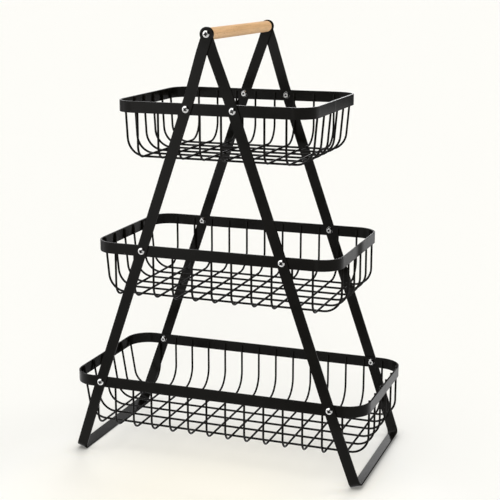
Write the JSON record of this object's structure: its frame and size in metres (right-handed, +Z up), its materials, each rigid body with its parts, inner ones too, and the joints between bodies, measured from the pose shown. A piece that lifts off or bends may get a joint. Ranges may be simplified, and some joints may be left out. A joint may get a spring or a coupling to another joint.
{
  "type": "tiered wire basket stand",
  "caption": "Free-standing A-frame stand of flat black steel bar with rounded wire baskets that widen downward and a round wooden carrying grip across the top.",
  "frame": {"origin": "middle of the footprint, on the floor under the two floor bars", "axes": "+Z up, +Y from the front to the back along the wooden grip, +X to the right"},
  "size_m": [0.443, 0.247, 0.6202],
  "materials": {
    "frame_paint": "satin black powder coat on flat steel bar",
    "wire_paint": "satin black powder coat on steel wire",
    "screw_plating": "bright nickel plating",
    "nut_plating": "bright zinc plating",
    "grip_wood": "sanded beech, clear matt oil",
    "insert_brass": "plain turned brass"
  },
  "bodies": {
    "stand": {"left_leg_frame": "frame_paint", "right_leg_frame": "frame_paint", "top_rim": "frame_paint", "top_cross_wires": "wire_paint", "top_long_wires": "wire_paint", "top_screws": "screw_plating", "top_nuts": "nut_plating", "middle_rim": "frame_paint", "middle_cross_wires": "wire_paint", "middle_long_wires": "wire_paint", "middle_screws": "screw_plating", "middle_nuts": "nut_plating", "bottom_rim": "frame_paint", "bottom_cross_wires": "wire_paint", "bottom_long_wires": "wire_paint", "bottom_screws": "screw_plating", "bottom_nuts": "nut_plating", "front_grip_screw": "screw_plating", "back_grip_screw": "screw_plating"},
    "grip": {"grip": "grip_wood", "grip_inserts": "insert_brass"}
  },
  "joints": [
    {"name": "grip_turn", "type": "hinge", "parent": "stand", "child": "grip", "pos_m": [0, 0, 0.61067], "axis": [0, 1, 0], "continuous": true}
  ]
}
